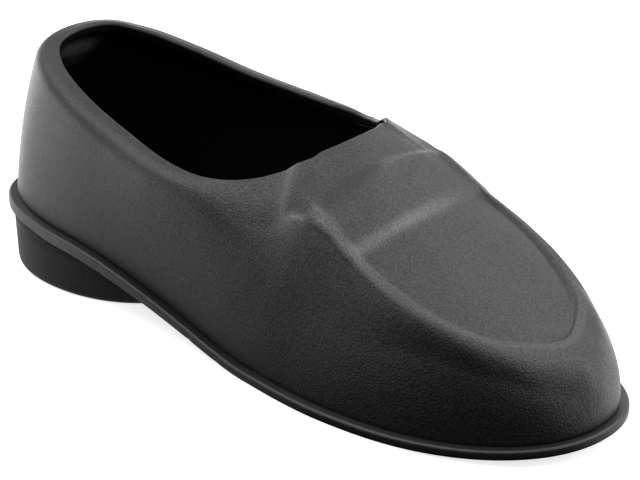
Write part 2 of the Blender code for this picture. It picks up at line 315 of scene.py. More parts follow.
def smooth_table(rows, at, column, mirror=()):
    """Cubic curve through a table; mirror gives the sign of the column beyond each end."""
    rows = np.array(rows, float)
    key = rows[:, 0]
    val = rows[:, column]
    if len(mirror) == 2:
        key = np.concatenate([[2 * key[0] - key[1]], key, [2 * key[-1] - key[-2]]])
        val = np.concatenate([[mirror[0] * val[1]], val, [mirror[1] * val[-2]]])
    slope = np.gradient(val, key)
    at = np.clip(np.asarray(at, float), rows[0, 0], rows[-1, 0])
    i = np.clip(np.searchsorted(key, at, side="right") - 1, 0, len(key) - 2)
    h = key[i + 1] - key[i]
    t = (at - key[i]) / h
    a = (1 + 2 * t) * (1 - t) ** 2 * val[i] + t * (1 - t) ** 2 * h * slope[i]
    b = t * t * (3 - 2 * t) * val[i + 1] + t * t * (t - 1) * h * slope[i + 1]
    return a + b


def table_line(rows, at, column):
    """Straight lines through a table."""
    return np.interp(at, [row[0] for row in rows], [row[column] for row in rows])


def step(low, high, at):
    t = np.clip((np.asarray(at, float) - low) / (high - low), 0.0, 1.0)
    return t * t * (3 - 2 * t)


def share_along(q, comes_in, goes_out=None):
    """One value for each profile: 1 where a detail is present, 0 where it is not."""
    share = step(*comes_in, q)
    if goes_out:
        share = share * (1 - step(*goes_out, q))
    return share[:, None]


def unit(v):
    return v / np.maximum(np.linalg.norm(v, axis=-1), 1e-9)[..., None]


def centre(x):
    reach = np.clip((np.asarray(x, float) - SWING_START) / (SOLE_LENGTH - SWING_START), 0.0, 1.0)
    return TOE_SWING * reach ** 2


def sole_bottom(x):
    x = np.asarray(x, float)
    drop = 1 - step(HEEL_SEAT_END, FOREFOOT_START, x)
    lift = np.clip((x - FOREFOOT_END) / (SOLE_LENGTH - FOREFOOT_END), 0.0, 1.0)
    return HEEL_SEAT_HEIGHT * drop + TOE_SPRING * lift ** 2


def sole_thick(x):
    """Thickness of the sole plate, greater under the heel."""
    return SOLE_THICK + HEEL_EXTRA * (1 - step(HEEL_SEAT_END, FOREFOOT_START, x))


def sole_point(q, inset=0.0):
    """Plan point of the sole's edge for q on the right side, moved in by inset."""
    q = np.asarray(q, float)
    c = np.cos(np.pi * q)
    x = SOLE_LENGTH * (1 - c) / 2
    power = np.where(c > 0, HEEL_END_POWER, TOE_END_POWER)
    end = np.clip(1 - np.abs(c) ** power, 0.0, 1.0) ** (1 / power)
    y = smooth_table(SOLE_HALF, x, 1) * end
    if np.all(np.asarray(inset) == 0.0):
        return x, y
    d = 1e-4
    xa, ya = sole_point(q - d)
    xb, yb = sole_point(q + d)
    ya = np.where(q - d < 0, -ya, ya)
    yb = np.where(q + d > 1, -yb, yb)
    run = np.hypot(xb - xa, yb - ya)
    return x + inset * (yb - ya) / run, np.maximum(y - inset * (xb - xa) / run, 0.0)


def side_shift():
    q = np.linspace(0.0, 1.0, 400)
    x, y = sole_point(q)
    return 0.5 * ((centre(x) + y).max() + (centre(x) - y).min())


def place(points):
    """From table millimetres to the frame's metres."""
    out = np.array(points, float)
    out[..., 0] -= SOLE_LENGTH / 2
    out[..., 1] -= side_shift()
    return out * MM


def collar_point(q, side):
    x = smooth_table(COLLAR_EDGE, q, 1, (1, 1))
    y = smooth_table(COLLAR_EDGE, q, 2, (-1, -1))
    z = smooth_table(COLLAR_EDGE, q, 3, (1, 1))
    if side > 0:
        z = z + table_line(LEFT_LIFT, q, 1)
    return np.stack([x, centre(x) + side * y, z], -1)


def outward(q, side):
    """Plan direction out of the shoe, square to the collar."""
    run = collar_point(np.minimum(q + 0.004, 1.0), 1) - collar_point(np.maximum(q - 0.004, 0.0), 1)
    run[q <= 0.004] = (0.0, 1.0, 0.0)
    out = np.stack([-run[:, 1], side * run[:, 0], 0 * q], -1)
    return unit(out)


def top_point(q, side, drop):
    rim = collar_point(q, side) + RIM_WIDTH * outward(q, side)
    rim[:, 2] -= drop
    x = smooth_table(TOP_LINE, q, 1, (1, 1))
    y = smooth_table(TOP_LINE, q, 2, (1, -1))
    z = smooth_table(TOP_LINE, q, 3, (1, 1))
    ridge = np.stack([x, centre(x) + side * y, z], -1)
    w = step(*TOP_BLEND, q)[:, None]
    return rim * (1 - w) + ridge * w


def foot_point(q, side):
    x, y = sole_point(q, FLANGE)
    return np.stack([x, centre(x) + side * y, sole_bottom(x) + sole_thick(x) + GAP], -1)


def wall_rows(q, side, drop):
    """Outer wall from the sole to the top line, bulged square to its chord, and distance below the top."""
    foot = foot_point(q, side)
    top = top_point(q, side, drop)
    chord = top - foot
    flat = np.hypot(chord[:, 0], chord[:, 1])
    away = -chord[:, :2] / np.maximum(flat, 1e-6)[:, None]
    edge = unit(np.stack([foot[:, 0] - SOLE_LENGTH / 2, foot[:, 1] - centre(foot[:, 0])], -1))
    rear = 1 - share_along(q, WALL_TURN)
    out = unit(outward(q, side)[:, :2] * rear + edge * (1 - rear))
    lean = np.maximum((away * out).sum(1) * flat, 0.0)
    length = np.hypot(lean, chord[:, 2])
    normal = np.stack([out[:, 0] * chord[:, 2], out[:, 1] * chord[:, 2], lean], -1) / length[:, None]
    t = 1 - (1 - np.linspace(0.0, 1.0, WALL_ROWS)) ** WALL_CROWDING
    lift = np.sin(np.pi * t) ** BULGE_POWER
    body = foot[:, None] + chord[:, None] * t[None, :, None]
    body += normal[:, None] * (smooth_table(WALL_BULGE, q, 1)[:, None] * lift[None])[..., None]
    return body, (1 - t)[None] * np.linalg.norm(chord, axis=1)[:, None]


def front_height(x, y):
    """Height of the front surface before relief, crowned between the two ridges."""
    ridge = smooth_table(FRONT_FORM, x, 1)
    half = smooth_table(FRONT_FORM, x, 2)
    crown = smooth_table(FRONT_FORM, x, 3)
    across = np.clip(np.abs(y - centre(x)) / half, 0.0, 1.0)
    return ridge + crown * (1 - across ** CROWN_POWER)


def saddle_line(x, bow, y):
    return x + bow * np.clip(1 - ((y - centre(x)) / SADDLE_HALF) ** 2, 0.0, 1.0)


def line_crossing(x, bow, top, edge):
    """Share of the way from ridge to tongue at which each ray crosses a saddle line."""
    t = np.full(len(top), 0.5)
    for _ in range(8):
        y = top[:, 1] + (edge[:, 1] - top[:, 1]) * t
        t = (saddle_line(x, bow, y) - top[:, 0]) / np.minimum(edge[:, 0] - top[:, 0], -1e-3)
    return t


def top_rows(q, side, sizes):
    """Outer top from the ridge or rim shoulder to the collar's edge, and distance in from the ridge."""
    drop = sizes.shoulder_drop / MM
    top = top_point(q, side, drop)
    edge = collar_point(q, side) + LIP_EDGE * outward(q, side)
    front = line_crossing(SADDLE_FRONT_X, SADDLE_FRONT_BOW, top, edge)
    rear = line_crossing(SADDLE_REAR_X, SADDLE_REAR_BOW, top, edge)
    span = np.linalg.norm((edge - top)[:, :2], axis=1)
    is_front = share_along(q, FRONT_ROWS)
    half = SLOPE_MARGIN * sizes.saddle_front_step / MM / 2 / span
    back = SLOPE_MARGIN * sizes.saddle_rear_step / MM / 2 / span
    ridge = sizes.ridge_width / MM / span
    keys = [0.4 * ridge, 0.8 * ridge, 1.6 * ridge, front * 0.5, front - half, front, front + half]
    keys += [front * 0.5 + rear * 0.5, rear - back, rear, rear + back]
    keys += [rear + (1 - rear) * k for k in (0.5, 1.0)]
    keys = np.stack(keys, 1)
    count = keys.shape[1]
    for k in range(count):
        keys[:, k] = np.maximum(keys[:, k], TOP_LEAST if k == 0 else keys[:, k - 1] + TOP_LEAST)
    for k in range(count - 1, -1, -1):
        keys[:, k] = np.minimum(keys[:, k], 1.0 if k == count - 1 else keys[:, k + 1] - TOP_LEAST)
    keys = np.concatenate([np.zeros((len(q), 1)), keys], 1)
    at = np.linspace(0.0, 1.0, TOP_ROWS + 1)[1:]
    keys = np.stack([np.interp(at, np.linspace(0.0, 1.0, count + 1), row) for row in keys])
    t = at[None] * (1 - is_front) + keys * is_front
    base = top[:, None] + (edge - top)[:, None] * t[..., None]
    x = base[..., 0]
    y = base[..., 1]
    start = (top[:, 2] - front_height(top[:, 0], top[:, 1]))[:, None]
    end = (edge[:, 2] - front_height(edge[:, 0], edge[:, 1]))[:, None]
    tall = front_height(x, y) + start * (1 - t) ** 3 + end * t ** 3
    base[..., 2] = base[..., 2] * (1 - is_front) + tall * is_front
    return base, t * span[:, None]


def round_shoulder(base, below, inside, q):
    """Rounds each profile where the wall turns over at the top line."""
    lower = table_line(SHOULDER, q, 1)
    upper = table_line(SHOULDER, q, 2)
    out = base.copy()
    for ray in range(len(q)):
        wall = slice(0, WALL_ROWS)
        top = slice(WALL_ROWS - 1, base.shape[1])
        depth = below[ray, wall]
        run = inside[ray, top]
        low = min(lower[ray], SHOULDER_MOST[0] * depth[0])
        far = min(upper[ray], SHOULDER_MOST[1] * run[-1])
        corner = base[ray, WALL_ROWS - 1]
        start = np.array([np.interp(low, depth[::-1], base[ray, wall, k][::-1]) for k in range(3)])
        end = np.array([np.interp(far, run, base[ray, top, k]) for k in range(3)])
        reach = np.where(np.arange(base.shape[1]) < WALL_ROWS, -below[ray] / low, inside[ray] / far)
        reach = np.clip(reach, -1.0, 1.0)
        u = 0.5 * (1 + reach[np.abs(reach) < 1])[:, None]
        out[ray, np.abs(reach) < 1] = (1 - u) ** 2 * start + 2 * u * (1 - u) * corner + u * u * end
    return out


def grid_normals(grid):
    along = np.roll(grid, -1, 0) - np.roll(grid, 1, 0)
    return unit(np.cross(along, np.gradient(grid, axis=1)))


def panel_reach(x, z):
    """Distance inside the tongue panel from its nearer edge, below zero outside it."""
    end = (x - PANEL_END[0] - PANEL_END[2] * (PANEL_END[1] - z)) * PANEL_END[3]
    foot = (z - PANEL_FOOT[1] - PANEL_FOOT[2] * (x - PANEL_FOOT[0])) * PANEL_FOOT[3]
    return -np.log(np.exp(-end / PANEL_CORNER) + np.exp(-foot / PANEL_CORNER)) * PANEL_CORNER


def survey(grid, q, below, inside, sizes):
    """Distances of each point from the lines that the detail follows."""
    x, y, z = (grid[..., k] for k in range(3))
    width = sizes.ridge_width / MM
    blur = BEVEL_BLUR * (1 + np.maximum(below - width, 0.0))
    aside = y - centre(x)
    corner = (np.stack([x, np.abs(aside), z], -1) - PANEL_NUB[0]) / PANEL_NUB[1]
    return SimpleNamespace(
        x=x, y=y, q=q, below=below, inside=inside, aside=aside,
        from_ridge=np.where(below > 0, -below, inside),
        past_ridge=below - width,
        slope=sizes.ridge_rise / MM / width,
        begun=step(BEVEL_START - blur, BEVEL_START + blur, x) * share_along(q, BEVEL_IN),
        crisp=1 - step(*BEVEL_SOFTENS, x),
        ridge_in=table_line(RIDGE_INNER, q, 1)[:, None],
        ahead=x - saddle_line(SADDLE_FRONT_X, SADDLE_FRONT_BOW, y),
        behind=x - saddle_line(SADDLE_REAR_X, SADDLE_REAR_BOW, y),
        front_half=sizes.saddle_front_step / MM / 2,
        rear_half=sizes.saddle_rear_step / MM / 2,
        reach=panel_reach(x, z),
        nub=np.exp(-np.linalg.norm(corner, axis=-1) ** 2),
    )


def wall_relief(at, sizes):
    """Bevel beside the seam ridge and the rounded fall of the wall below it."""
    width = sizes.ridge_width / MM
    short_fall = step(*BEVEL_SHORT_FALL, at.past_ridge)
    fall = BEVEL_EDGE * short_fall + (1 - BEVEL_EDGE) * step(*BEVEL_LONG_FALL, at.past_ridge)
    bevel = at.slope * np.minimum(at.below, width) * (1 - fall)
    length = table_line(WALL_ROLL, at.x, 1)
    eased = 0.5 * (np.hypot(at.from_ridge, ROLL_EASE) - at.from_ridge)
    u = np.clip(eased / length, 0.0, 1.0)
    roll = table_line(WALL_ROLL, at.x, 2) * at.slope * length * u * (1 - u) ** 2
    roll *= step(*ROLL_BEGINS, at.x) * share_along(at.q, ROLL_IN)
    roll *= 1 - ROLL_LEFT_LOSS * step(*MIDDLE, at.aside)
    share = BEVEL_SHARE * at.crisp * at.begun
    return bevel * share + roll * (1 - share)


def front_relief(at, sizes):
    """Saddle strap, sunk apron and the fullness of the ridge round it."""
    apron = step(-at.front_half, at.front_half, at.ahead)
    strap = step(-at.rear_half, at.rear_half, at.behind) * (1 - apron)
    apron_slope = sizes.apron_slope / MM * (1 - APRON_TOE_LOSS * share_along(at.q, TOE_IN))
    out = sizes.saddle_rise / MM * strap * (1 - step(*SADDLE_SIDE, at.past_ridge)) * at.begun
    out -= sizes.apron_sink / MM * apron * step(at.ridge_in, at.ridge_in + apron_slope, at.from_ridge)
    out -= STRAP_SINK * strap * step(*STRAP_EDGE, at.from_ridge - at.ridge_in)
    full = table_line(SHOULDER, at.q, 2)[:, None]
    out += RIDGE_FULL * full * np.exp(-(at.from_ridge / (RIDGE_SPREAD * full)) ** 2)
    return out * share_along(at.q, FRONT_IN)


def panel_relief(at, sizes):
    """Sunk wall beside the tongue panel, notch behind the saddle, raised corner and slim left toe."""
    soft = step(*PANEL_SOFT_EDGE, at.reach)
    low, high = PANEL_FIRM_EDGE
    firm = np.clip((at.reach - low) / (high - low), 0.0, 1.0)
    panel = (1 - PANEL_FIRM) * soft + PANEL_FIRM * firm
    hollow = (1 - panel) * (1 - step(*HOLLOW_FADES, -at.reach)) * (1 - step(*HOLLOW_ENDS, at.x))
    out = -sizes.panel_sink / MM * hollow * share_along(at.q, HOLLOW_IN, HOLLOW_OUT)
    left = step(*SLIM_SIDE, at.aside) * (1 - step(*SLIM_DOWN, at.below)) * (1 - step(*SLIM_IN, at.inside))
    out -= table_line(LEFT_SLIM, at.q, 1)[:, None] * left
    across, along = NOTCH_REACH
    notch = np.exp(-((at.x - NOTCH_X) / across) ** 2) * np.exp(-(at.from_ridge / along) ** 2)
    out -= sizes.notch_depth / MM * notch * share_along(at.q, NOTCH_IN, NOTCH_OUT)
    return out + PANEL_NUB[2] * at.nub


def rub_and_painted_light_mask(at):
    """Rubbed wear, paler and shinier, on the ridge crest, the saddle's front step and the panel's raised
    corner; painted highlights on the tongue panel's end and the far part of the saddle's rear slope; painted
    shade on the near part of that slope and inside the panel's near end.
    """
    half = at.ridge_in * (1 - RUB_RIDGE_CRISP * at.crisp)
    ridge = RUB_RIDGE_FULL - RUB_RIDGE_FADE * np.abs((at.from_ridge - RUB_RIDGE_MIDDLE) / half)
    amount = RUB_RIDGE_AMOUNT[0] + RUB_RIDGE_AMOUNT[1] * at.crisp
    rub_and_painted_light = np.clip(ridge, 0.0, 1.0) * at.begun * amount
    fore = share_along(at.q, FRONT_IN)
    strap = np.exp(-(at.ahead / at.front_half) ** 2) * fore * (at.below <= 0)
    rub_and_painted_light += RUB_STRAP * strap * (1 - RUB_STRAP_LOSS * step(*RUB_STRAP_FADES, at.y))
    far = step(*PAINT_FAR_SIDE, at.aside)
    spread = at.rear_half * REAR_SLOPE_PAINT_SPREAD * (2 - far)
    # painted highlight on the far part, painted shade on the near part of the saddle's rear slope
    rub_and_painted_light += (REAR_SLOPE_PAINT[0] * far + REAR_SLOPE_PAINT[1] * (1 - far)) * np.exp(-(at.behind / spread) ** 2) * fore
    beside = share_along(at.q, PANEL_PAINT_IN, PANEL_PAINT_OUT)
    # painted highlight: a pale band painted along the tongue panel's end
    amount, middle, reach = PANEL_PAINTED_HIGHLIGHT
    rub_and_painted_light += amount * np.exp(-((at.reach - middle) / reach) ** 2) * beside + at.nub
    # painted shade: less coat and dust inside the tongue panel's near end
    amount, middle, reach = PANEL_PAINTED_SHADE
    rub_and_painted_light -= amount * np.exp(-((at.reach - middle) / reach) ** 2) * beside * (1 - far)
    return np.clip(rub_and_painted_light, *WEAR_AND_PAINT_LIMITS)


def upper_grid(sizes):
    """Closed profiles, one per ray, running round the shoe, with a rub mask for each point."""
    q_right = np.concatenate([np.linspace(a, b, n, endpoint=False) for a, b, n in RAY_BANDS] + [[1.0]])
    q_left = q_right[1:-1][::-1]
    drop = sizes.shoulder_drop / MM
    base, below, inside, lip_out, qs = [], [], [], [], []
    for q, side in ((q_right, -1.0), (q_left, 1.0)):
        wall, depth = wall_rows(q, side, drop)
        top, run = top_rows(q, side, sizes)
        base.append(np.concatenate([wall, top], 1))
        below.append(np.concatenate([depth, 0 * run], 1))
        inside.append(np.concatenate([0 * depth, run], 1))
        lip_out.append(outward(q, side))
        qs.append(q)
    base, below, inside, lip_out = (np.concatenate(v, 0) for v in (base, below, inside, lip_out))
    q = np.concatenate(qs)
    base = round_shoulder(base, below, inside, q)
    normal = grid_normals(base)
    at = survey(base, q, below, inside, sizes)
    amount = wall_relief(at, sizes) + front_relief(at, sizes) + panel_relief(at, sizes)
    outer = base + normal * amount[..., None]
    rear = 1 - step(*LIP_OUT, q)
    wall_thick = sizes.wall / MM
    lip = wall_thick + (sizes.lip / MM - wall_thick) * rear
    thick = np.full(base.shape[:2], wall_thick)
    thick[:, WALL_ROWS:] = lip[:, None]
    inner = outer - normal * (thick + np.maximum(amount, 0.0))[..., None]
    edge = outer[:, -1]
    arc = []
    for k in range(1, LIP_ARC + 1):
        a = 0.5 * math.pi * k / LIP_ARC
        p = edge - lip_out * (LIP_EDGE * math.sin(a))
        p[:, 2] -= LIP_EDGE * (1 - math.cos(a))
        arc.append(p)
    for k in range(LIP_ARC + 1):
        a = 0.5 * math.pi * k / LIP_ARC
        p = edge - lip_out * (LIP_EDGE * math.cos(a))
        p[:, 2] -= lip - LIP_EDGE * (1 - math.sin(a))
        arc.append(p)
    arc = np.stack(arc, 1)
    foot = outer[:, 0].copy()
    flat = normal[:, 0].copy()
    flat[:, 2] = 0.0
    foot -= unit(flat) * wall_thick
    foot[:, 2] = sole_bottom(foot[:, 0]) + sole_thick(foot[:, 0]) + GAP
    inner[:, 0] = foot
    keep = np.arange(base.shape[1] - 1 - INNER_STEP, -1, -INNER_STEP)
    if keep[-1] != 0:
        keep = np.append(keep, 0)
    grid = np.concatenate([outer, arc, inner[:, keep]], 1)
    skin = np.zeros(grid.shape[:2])
    skin[:, :outer.shape[1] + LIP_ARC] = GRAIN_REAR + (1 - GRAIN_REAR) * share_along(q, GRAIN_IN)
    wear_and_painted_light = np.zeros(grid.shape[:2])
    # the outer skin carries rubbed wear together with painted highlights and painted shade
    wear_and_painted_light[:, :outer.shape[1]] = rub_and_painted_light_mask(at)
    within = grid[:, outer.shape[1] + LIP_ARC:]
    # painted highlight: a lit patch painted on the inside back wall under the rim
    spot = np.linalg.norm((within - INSIDE_PAINTED_HIGHLIGHT[0]) / INSIDE_PAINTED_HIGHLIGHT[1], axis=-1)
    wear_and_painted_light[:, outer.shape[1] + LIP_ARC:] = INSIDE_PAINTED_HIGHLIGHT[2] * np.exp(-spot ** 4)
    return grid, skin, wear_and_painted_light


def ring_faces(rings, count):
    i = np.arange(rings)[:, None]
    k = np.arange(count)[None]
    j = (i + 1) % rings
    m = (k + 1) % count
    quads = np.stack([i * count + k, j * count + k, j * count + m, i * count + m], -1)
    return quads.reshape(-1, 4).tolist()


def loop_faces(levels, size):
    """Sides between stacked loops and ruled strips across the first and last."""
    faces = []
    for level in range(levels - 1):
        a = level * size
        for k in range(size):
            m = (k + 1) % size
            faces.append((a + k, a + m, a + size + m, a + size + k))
    pairs = size // 2
    for level in (0, levels - 1):
        a = level * size
        faces.append((a, a + 1, a + size - 1))
        for k in range(1, pairs - 1):
            faces.append((a + k, a + k + 1, a + size - k - 1, a + size - k))
        faces.append((a + pairs - 1, a + pairs, a + pairs + 1))
    return faces


def add_piece(name, verts, faces, material, node):
    """Links a smooth-shaded mesh, puts it on the frame and hides the node it stands for."""
    mesh = bpy.data.meshes.new(name)
    mesh.from_pydata([tuple(v) for v in verts], [], faces)
    mesh.validate()
    mesh.update()
    mesh.materials.append(material)
    piece = bpy.data.objects.new(name, mesh)
    bpy.context.scene.collection.objects.link(piece)
    bpy.context.view_layer.objects.active = piece
    piece.select_set(True)
    bpy.ops.object.mode_set(mode="EDIT")
    bpy.ops.mesh.select_all(action="SELECT")
    bpy.ops.mesh.normals_make_consistent(inside=False)
    bpy.ops.object.mode_set(mode="OBJECT")
    piece.select_set(False)
    for polygon in mesh.polygons:
        polygon.use_smooth = True
    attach(piece, "root")
    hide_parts(node)
    return piece


def add_mask(piece, name, values):
    layer = piece.data.attributes.new(name, "FLOAT", "POINT")
    layer.data.foreach_set("value", np.asarray(values, np.float32).ravel())


def node(tree, kind, **settings):
    made = tree.nodes.new(kind)
    for key, value in settings.items():
        setattr(made, key, value)
    return made


def math_node(tree, operation, a, b=None, c=None, clamp=False):
    made = node(tree, "ShaderNodeMath", operation=operation, use_clamp=clamp)
    for socket, value in zip(made.inputs, (a, b, c)):
        if value is None:
            continue
        if isinstance(value, (int, float)):
            socket.default_value = value
        else:
            tree.links.new(value, socket)
    return made.outputs[0]


def ramp_node(tree, value, row, kind="LINEAR"):
    made = node(tree, "ShaderNodeMapRange", interpolation_type=kind)
    for label, number in zip(("From Min", "From Max", "To Min", "To Max"), row):
        made.inputs[label].default_value = number
    tree.links.new(value, made.inputs["Value"])
    return made.outputs["Result"]


def group_tree(name, inputs, outputs):
    tree = bpy.data.node_groups.new(name, "ShaderNodeTree")
    for label, kind, default in inputs:
        socket = tree.interface.new_socket(name=label, in_out="INPUT", socket_type=kind)
        socket.default_value = default
    for label, kind in outputs:
        tree.interface.new_socket(name=label, in_out="OUTPUT", socket_type=kind)
    return tree, tree.nodes.new("NodeGroupInput"), tree.nodes.new("NodeGroupOutput")


def moulded_grain_group():
    """Pebbled mould texture: a height for bump and a slow tone that varies the gloss."""
    tree, source, sink = group_tree(
        "Moulded grain",
        (("Pitch", "NodeSocketFloat", 0.0011), ("Depth", "NodeSocketFloat", 1.0)),
        (("Height", "NodeSocketFloat"), ("Peaks", "NodeSocketFloat"), ("Tone", "NodeSocketFloat")),
    )
    link = tree.links.new
    where = node(tree, "ShaderNodeTexCoord").outputs["Object"]
    scale = math_node(tree, "DIVIDE", 1.0, source.outputs["Pitch"])
    pebble = node(tree, "ShaderNodeTexVoronoi", feature="SMOOTH_F1")
    pebble.inputs["Smoothness"].default_value = 0.6
    link(where, pebble.inputs["Vector"])
    link(scale, pebble.inputs["Scale"])
    peel = node(tree, "ShaderNodeTexNoise")
    peel.inputs["Detail"].default_value = 2.0
    link(where, peel.inputs["Vector"])
    link(math_node(tree, "MULTIPLY", scale, 0.9), peel.inputs["Scale"])
    cloud = node(tree, "ShaderNodeTexNoise")
    cloud.inputs["Scale"].default_value = 26.0
    cloud.inputs["Detail"].default_value = 3.0
    link(where, cloud.inputs["Vector"])
    dome = math_node(tree, "SUBTRACT", 1.0, pebble.outputs["Distance"])
    mixed = math_node(tree, "MULTIPLY_ADD", dome, 0.45, math_node(tree, "MULTIPLY", peel.outputs["Fac"], 1.1))
    link(math_node(tree, "MULTIPLY", mixed, source.outputs["Depth"]), sink.inputs["Height"])
    link(ramp_node(tree, mixed, GRAIN_PEAKS), sink.inputs["Peaks"])
    link(cloud.outputs["Fac"], sink.inputs["Tone"])
    return tree


def dust_group():
    """Sparse pale specks: a mask that is one on a speck."""
    tree, source, sink = group_tree(
        "Settled dust",
        (("Spacing", "NodeSocketFloat", 0.008), ("Amount", "NodeSocketFloat", 0.1)),
        (("Mask", "NodeSocketFloat"),),
    )
    link = tree.links.new
    where = node(tree, "ShaderNodeTexCoord").outputs["Object"]
    cell = node(tree, "ShaderNodeTexVoronoi", feature="F1")
    link(where, cell.inputs["Vector"])
    link(math_node(tree, "DIVIDE", 1.0, source.outputs["Spacing"]), cell.inputs["Scale"])
    chance = node(tree, "ShaderNodeSeparateColor")
    link(cell.outputs["Color"], chance.inputs["Color"])
    chosen = math_node(tree, "LESS_THAN", chance.outputs["Red"], source.outputs["Amount"])
    size = math_node(tree, "MULTIPLY_ADD", chance.outputs["Green"], 0.03, 0.025)
    speck = math_node(tree, "LESS_THAN", cell.outputs["Distance"], size)
    link(math_node(tree, "MULTIPLY", speck, chosen), sink.inputs["Mask"])
    return tree


def shared_group(name, make):
    return bpy.data.node_groups.get(name) or make()


def rubber_material(name, finish, pitch, depth=1.0, gloss=1.0, painted_light_and_shade=1.0, has_masks=False):
    """Black satin rubber with grain, dust and slightly paler rubbed edges, with painted highlights and
    painted shade from the rub mask and a painted light and shade factor on its colour.
    """
    mat = bpy.data.materials.new(name)
    mat.use_nodes = True
    tree = mat.node_tree
    link = tree.links.new
    shader = tree.nodes["Principled BSDF"]
    shader.inputs["Specular IOR Level"].default_value = finish.gloss * gloss
    shader.inputs["Coat Roughness"].default_value = 0.45
    grain = node(tree, "ShaderNodeGroup", node_tree=shared_group("Moulded grain", moulded_grain_group))
    grain.inputs["Pitch"].default_value = pitch
    grain.inputs["Depth"].default_value = depth
    dust = node(tree, "ShaderNodeGroup", node_tree=shared_group("Settled dust", dust_group))
    dust.inputs["Amount"].default_value = finish.dust
    colour = node(tree, "ShaderNodeMix", data_type="RGBA")
    base = node(tree, "ShaderNodeMix", data_type="RGBA")
    tint = finish.grain_tint * depth
    # painted light and shade: the rubber's colour scaled darker or paler for each piece
    base.inputs["A"].default_value = (*[c * painted_light_and_shade * (1 - tint) for c in finish.rubber], 1.0)
    base.inputs["B"].default_value = (*[c * painted_light_and_shade * (1 + tint) for c in finish.rubber], 1.0)
    link(grain.outputs["Peaks"], base.inputs["Factor"])
    link(base.outputs["Result"], colour.inputs["A"])
    colour.inputs["B"].default_value = (*finish.dust_and_highlight_colour, 1.0)
    tone = math_node(tree, "MULTIPLY_ADD", grain.outputs["Tone"], 0.10, finish.roughness - 0.05)
    polish = math_node(tree, "MULTIPLY", grain.outputs["Peaks"], finish.grain_polish * depth)
    height = grain.outputs["Height"]
    dust_wear_and_highlight_mask = math_node(tree, "MULTIPLY", dust.outputs["Mask"], 0.5)
    if has_masks:
        skin = node(tree, "ShaderNodeAttribute", attribute_name="skin").outputs["Fac"]
        rub_and_painted_light = node(tree, "ShaderNodeAttribute", attribute_name="rub_and_painted_light").outputs["Fac"]
        mottle = math_node(tree, "MULTIPLY_ADD", grain.outputs["Peaks"], 0.55, 0.75)
        rub_and_painted_light = math_node(tree, "MULTIPLY", rub_and_painted_light, mottle)
        height = math_node(tree, "MULTIPLY", height, skin)
        dust_wear_and_highlight_mask = math_node(tree, "MULTIPLY", dust_wear_and_highlight_mask, skin)
        # above zero the rub mask pulls the colour to the pale colour and adds coat, for rubbed wear and
        # painted highlights; below zero it clears dust and coat, as painted shade
        dust_wear_and_highlight_mask = math_node(tree, "MULTIPLY_ADD", rub_and_painted_light, finish.rub_and_painted_light, dust_wear_and_highlight_mask, clamp=True)
        polish = math_node(tree, "MULTIPLY", polish, skin)
        polish = math_node(tree, "MULTIPLY_ADD", rub_and_painted_light, finish.rub_and_painted_light_polish, polish, clamp=True)
    link(dust_wear_and_highlight_mask, colour.inputs["Factor"])
    link(colour.outputs["Result"], shader.inputs["Base Color"])
    link(tone, shader.inputs["Roughness"])
    link(polish, shader.inputs["Coat Weight"])
    bump = node(tree, "ShaderNodeBump")
    bump.inputs["Strength"].default_value = finish.grain_strength
    bump.inputs["Distance"].default_value = finish.grain_depth
    link(height, bump.inputs["Height"])
    link(bump.outputs["Normal"], shader.inputs["Normal"])
    return mat


class OvershoeSizes(bpy.types.PropertyGroup):
    """Sizes of the moulded detail."""
    wall: bpy.props.FloatProperty(
        name="Wall", description="Thickness of the upper's wall", default=0.003, unit="LENGTH")
    lip: bpy.props.FloatProperty(
        name="Collar lip", description="Depth of the lip round the collar", default=0.0046, unit="LENGTH")
    shoulder_drop: bpy.props.FloatProperty(
        name="Shoulder drop", description="Fall of the rim's rounded outer shoulder",
        default=0.0014, unit="LENGTH")
    ridge_rise: bpy.props.FloatProperty(
        name="Ridge rise", description="Height of the seam ridge above the wall",
        default=0.0020, unit="LENGTH")
    ridge_width: bpy.props.FloatProperty(
        name="Ridge width", description="Width of the seam ridge", default=0.0046, unit="LENGTH")
    saddle_rise: bpy.props.FloatProperty(
        name="Saddle rise", description="Height of the saddle above the ridge",
        default=0.0006, unit="LENGTH")
    saddle_front_step: bpy.props.FloatProperty(
        name="Saddle front slope", description="Length of the saddle's front slope",
        default=0.0046, unit="LENGTH")
    saddle_rear_step: bpy.props.FloatProperty(
        name="Saddle rear slope", description="Length of the saddle's rear slope",
        default=0.0016, unit="LENGTH")
    apron_sink: bpy.props.FloatProperty(
        name="Apron sink", description="Depth of the apron below its ridge", default=0.0010, unit="LENGTH")
    apron_slope: bpy.props.FloatProperty(
        name="Apron slope", description="Length of the slope from ridge to apron",
        default=0.0020, unit="LENGTH")
    notch_depth: bpy.props.FloatProperty(
        name="Notch depth", description="Depth of the notch behind the saddle's ends",
        default=0.0005, unit="LENGTH")
    panel_sink: bpy.props.FloatProperty(
        name="Panel sink", description="Depth of the wall below the tongue panel's ends",
        default=0.0019, unit="LENGTH")
    sole_round: bpy.props.FloatProperty(
        name="Sole edge radius", description="Rounding of the sole's edge", default=0.0012, unit="LENGTH")
    heel_round: bpy.props.FloatProperty(
        name="Heel edge radius", description="Rounding of the heel's lower edge",
        default=0.0025, unit="LENGTH")


